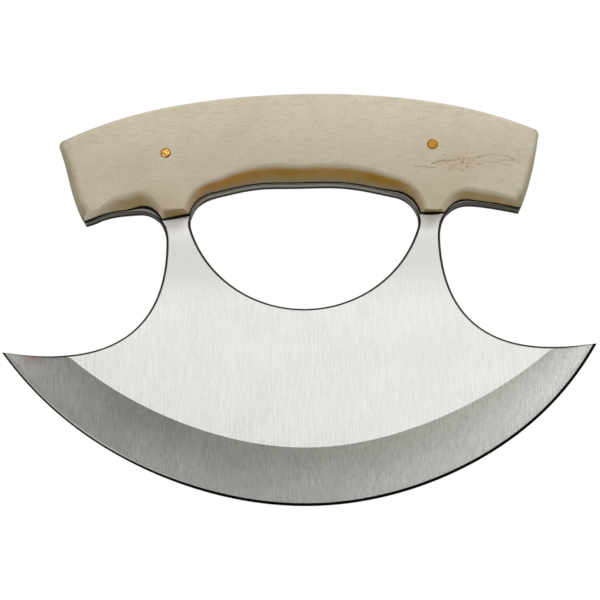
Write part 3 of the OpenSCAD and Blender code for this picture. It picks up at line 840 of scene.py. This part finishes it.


# Bone: painted lighter above where more light falls, clouded and grained, browner near the necks,
# with brown stain in the scallops, and painted shade on the ends, darkest at their outlines, on the
# necks' cuts and on the rounded top
bone, tree = new_material("bone", (0.62, 0.55, 0.43))
place, x, y, z = object_place(tree)
depth, in_arch, in_lobe, on_end, at_neck, on_top = (own(tree, name) for name in mark_names)
cloud, patches = noise(tree, place, 70.0, 5.0, 0.55), noise(tree, place, 200.0, 4.0, 0.55)
drawn = put(tree, "ShaderNodeMapping", {"Vector": place, "Scale": (260.0, 1100.0, 1300.0),
                                        "Rotation": (0.0, 0.02, 0.0)}).outputs[0]
grain, fine = noise(tree, drawn, 1.0, 4.0, 0.6), noise(tree, place, 1500.0, 2.0, 0.55)
near_neck = fade(tree, sums(tree, "ABSOLUTE", x), 0.052, 0.044)
lobe_tone = layered(tree, (0.250, 0.173, 0.048), (fade(tree, x, -0.01, 0.01), (0.232, 0.145, 0.015)))
arch_tone = layered(tree, (0.260, 0.135, 0.0), (fade(tree, x, -0.006, -0.020), (0.298, 0.135, 0.0)))
tone = layered(
    tree, (0.525, 0.465, 0.350),
    # painted light: lighter towards the top
    (fade(tree, z, 0.098, 0.119), (0.625, 0.555, 0.425)),
    (fade(tree, cloud, 0.35, 0.7, 0.0, 0.30), (0.46, 0.395, 0.27)),
    (fade(tree, patches, 0.45, 0.75, 0.0, 0.18), (0.66, 0.62, 0.52)),
    (fade(tree, grain, 0.42, 0.75, 0.0, 0.30), (0.36, 0.31, 0.21)),
    (fade(tree, fine, 0.45, 0.75, 0.0, 0.30), (0.34, 0.29, 0.20)),
    (times(tree, fade(tree, z, 0.097, 0.088), near_neck, fade(tree, cloud, 0.3, 0.6, 0.2, 0.5)),
     (0.40, 0.31, 0.18)),
    (times(tree, fade(tree, depth, 0.0, 0.5), in_lobe, fade(tree, cloud, 0.3, 0.6, 0.75, 0.95)),
     lobe_tone),
    (times(tree, fade(tree, depth, 0.0, 0.36), in_arch, fade(tree, cloud, 0.35, 0.6, 0.88, 1.0)),
     arch_tone),
    (times(tree, fade(tree, depth, 0.58, 0.98), in_arch, fade(tree, patches, 0.3, 0.6, 0.75, 0.95)),
     (0.247, 0.186, 0.095)),
    # painted shade on the ends, darkest at their outlines, on the necks' cuts and on the rounded top
    (times(tree, fade(tree, depth, -0.1, 0.5), on_end, 0.85), (0.208, 0.163, 0.055)),
    (times(tree, fade(tree, depth, 0.0, 0.2), at_neck, 0.95), (0.225, 0.155, 0.05)),
    (times(tree, fade(tree, depth, 0.03, 0.25), on_top, 0.7), (0.30, 0.27, 0.17)),
    (times(tree, fade(tree, depth, 0.6, 1.0), on_end, 0.6), (0.16, 0.14, 0.09)))


def vector(tree, operation, *values, output=0):
    """The result of one Vector Math node."""
    made = put(tree, "ShaderNodeVectorMath", dict(enumerate(values)), operation=operation)
    return made.outputs[output]


# Share of a straight stroke of a width in mm between two places, from none at its edge to full inside
crack, given, result = new_group("hair_crack", {
    "Place": "Vector", "Start": "Vector", "End": "Vector", "Width": "Float"}, {"Share": "Float"})
run = vector(crack, "SUBTRACT", given["End"], given["Start"])
off = vector(crack, "SUBTRACT", given["Place"], given["Start"])
t = sums(crack, "DIVIDE", vector(crack, "DOT_PRODUCT", off, run, output=1),
         vector(crack, "DOT_PRODUCT", run, run, output=1), clamp=True)
nearest = put(crack, "ShaderNodeVectorMath", {0: run, "Scale": t}, operation="SCALE").outputs[0]
away = vector(crack, "LENGTH", vector(crack, "SUBTRACT", off, nearest), output=1)
share = fade(crack, sums(crack, "DIVIDE", away, given["Width"]), 1.0, 0.2)
crack.links.new(share, result["Share"])

# Hair cracks on the front, given as start x and z, end x and z, width in mm and how dark they are, on
# a place that noise bends
bend_mm, to_mm = (1.6, 0.0, 1.6), (1000.0, 0.0, 1000.0)
bend = vector(tree, "SUBTRACT", noise(tree, place, 450.0, 3.0, output="Color"), (0.5, 0.5, 0.5))
bend = vector(tree, "MULTIPLY", bend, bend_mm)
bent = vector(tree, "ADD", vector(tree, "MULTIPLY", place, to_mm), bend)
front_side = fade(tree, y, -0.003, -0.005)
for x0, z0, x1, z1, width, dark in (
        (34.2, 97.7, 40.8, 97.2, 0.34, 0.42), (39.6, 98.4, 43.3, 99.2, 0.40, 0.70),
        (43.3, 99.2, 46.2, 99.1, 0.36, 0.62), (46.2, 99.1, 49.2, 99.7, 0.36, 0.55),
        (49.2, 99.7, 52.0, 98.9, 0.34, 0.30), (41.5, 99.5, 44.5, 98.6, 0.30, 0.35),
        (53.5, 100.4, 57.0, 100.9, 0.45, 0.28), (57.0, 100.9, 60.5, 100.3, 0.40, 0.20),
        (61.2, 100.5, 63.2, 98.9, 0.55, 0.42), (63.2, 98.9, 64.8, 98.4, 0.40, 0.28),
        (51.5, 97.9, 54.5, 98.0, 0.32, 0.22), (60.0, 97.6, 62.0, 97.5, 0.32, 0.30),
        (44.5, 97.4, 46.6, 97.0, 0.34, 0.35), (46.5, 98.4, 51.0, 98.2, 0.32, 0.34),
        (50.0, 99.6, 53.8, 100.5, 0.34, 0.34), (55.0, 98.6, 59.5, 98.4, 0.30, 0.28),
        (59.0, 99.3, 62.0, 98.7, 0.32, 0.26), (42.0, 97.6, 44.8, 98.2, 0.30, 0.30)):
    stroke = put(tree, "ShaderNodeGroup", {
        "Place": bent, "Start": (x0, 0.0, z0), "End": (x1, 0.0, z1), "Width": width
    }, node_tree=crack)
    tone = layered(tree, tone, (times(tree, stroke.outputs[0], front_side, dark), (0.22, 0.15, 0.06)))


def ellipse(middle, scales, inside):
    """Share of an ellipse on the bent place, given by its middle in mm and by what the distances from
    there are multiplied by. It is full inside a share of the ellipse."""
    off = vector(tree, "MULTIPLY", vector(tree, "SUBTRACT", bent, middle), scales)
    return fade(tree, vector(tree, "LENGTH", off, output=1), 1.0, inside)


# Reddish pores round the cracks, and a few single ones elsewhere
near = ellipse((47.5, 0.0, 98.6), (0.10, 0.0, 0.26), 0.2)
wide = ellipse((51.0, 0.0, 99.0), (0.055, 0.0, 0.21), 0.3)
tone = layered(tree, tone, (times(tree, near, front_side, fade(tree, patches, 0.35, 0.65, 0.2, 0.7)),
                            (0.50, 0.35, 0.245)))
for scale, size, few, region, colour in (
        (800.0, 0.42, 0.45, times(tree, near, front_side), (0.16, 0.06, 0.035)),
        (1150.0, 0.36, 0.6, times(tree, wide, front_side, 0.6), (0.30, 0.19, 0.08)),
        (330.0, 0.09, 0.88, 0.6, (0.15, 0.11, 0.06))):
    cells = put(tree, "ShaderNodeTexVoronoi", {"Vector": place, "Scale": scale}).outputs
    pick = put(tree, "ShaderNodeSeparateColor", {0: cells["Color"]}).outputs[0]
    pore = times(tree, fade(tree, cells["Distance"], size, size * 0.4),
                 sums(tree, "GREATER_THAN", pick, few), 0.8, region)
    tone = layered(tree, tone, (pore, colour))
surface(tree, "ShaderNodeBsdfPrincipled", {
    "Base Color": tone, "Specular IOR Level": 0.3, "Roughness": fade(tree, cloud, 0.3, 0.7, 0.42, 0.55),
    "Normal": bumped(tree, fine, 0.1, 0.0001, Normal=bumped(tree, grain, 0.12, 0.0002))})

for name, side in (("front", -1), ("rear", 1)):
    scale = scale_mesh(name, side)
    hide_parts(f"{name}_scale")
    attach(scale, "root")

# Pins
# Two brass rods through both scales and the tang. The left one's heads are peened and hammered, and
# the right one's are filed flat and smooth.
# Each is turned about its axis: pairs give the radius and how far below the face, from the middle out.
pin_sides = 64
for name, centre, colour, hammering_and_painted_light, heads in (
        ("left_pin", left_pin, (0.88, 0.46, 0.14), 1.0,
         ((0.0, 0.01), (0.5, 0.012), (0.95, 0.02), (1.25, 0.035), (1.45, 0.06), (pin_r, 0.14))),
        ("right_pin", right_pin, (0.46, 0.21, 0.03), 0.12,
         ((0.0, 0.03), (0.6, 0.03), (1.1, 0.032), (1.4, 0.04), (1.52, 0.06), (pin_r, 0.12)))):
    brass, tree = new_material(f"{name}_brass", colour)
    place, x, _, z = object_place(tree)
    dents_and_glints = put(tree, "ShaderNodeTexVoronoi", {"Vector": place, "Scale": 1500.0 + 700.0 * hammering_and_painted_light},
                feature="SMOOTH_F1").outputs
    spots = put(tree, "ShaderNodeSeparateColor", {0: dents_and_glints["Color"]}).outputs[0]
    dx, dz = (sums(tree, "SUBTRACT", axis, float(at) / 1000) for axis, at in zip((x, z), centre))
    off = sums(tree, "SQRT", sums(tree, "ADD", times(tree, dx, dx), times(tree, dz, dz)))
    lean = sums(tree, "SUBTRACT", dx, dz)
    # The left pin's facets show by painted reflections, cells and dents of brighter and darker colour,
    # and its lower right side has painted shade
    tone = layered(
        tree, colour,
        (fade(tree, spots, 0.25, 0.75, 0.0, 0.15 + 0.7 * hammering_and_painted_light), (0.30, 0.13, 0.02)),
        (fade(tree, dents_and_glints["Distance"], 0.5, 0.8, 0.0, 0.6 * hammering_and_painted_light), (0.12, 0.045, 0.01)),
        (fade(tree, off, 0.00105 - 0.0002 * hammering_and_painted_light, 0.0014, 0.0, 0.75), (0.12, 0.06, 0.018)),
        (fade(tree, lean, 0.0010, 0.0019, 0.0, 0.85 * hammering_and_painted_light), (0.06, 0.022, 0.008)))
    surface(tree, "ShaderNodeBsdfPrincipled", {
        "Base Color": tone, "Metallic": 1.0, "Roughness": fade(tree, spots, 0.3, 0.7, 0.3, 0.42),
        "Normal": bumped(tree, dents_and_glints["Distance"], hammering_and_painted_light, 0.0003)})
    r, below = np.array(heads).T
    radii = np.concatenate([r, r[::-1]])[:, None, None]
    depths = np.concatenate([below - scale_y1, scale_y1 - below[::-1]])[:, None]
    a = np.linspace(0, 2 * np.pi, pin_sides, endpoint=False)
    rings = at_depth(centre + radii * np.stack([np.cos(a), np.sin(a)], axis=-1), depths)
    pin = close_shell(add_piece(f"{name}_rod", *joined((rings, True)), (brass,)), 40)
    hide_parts(name)
    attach(pin, "root")
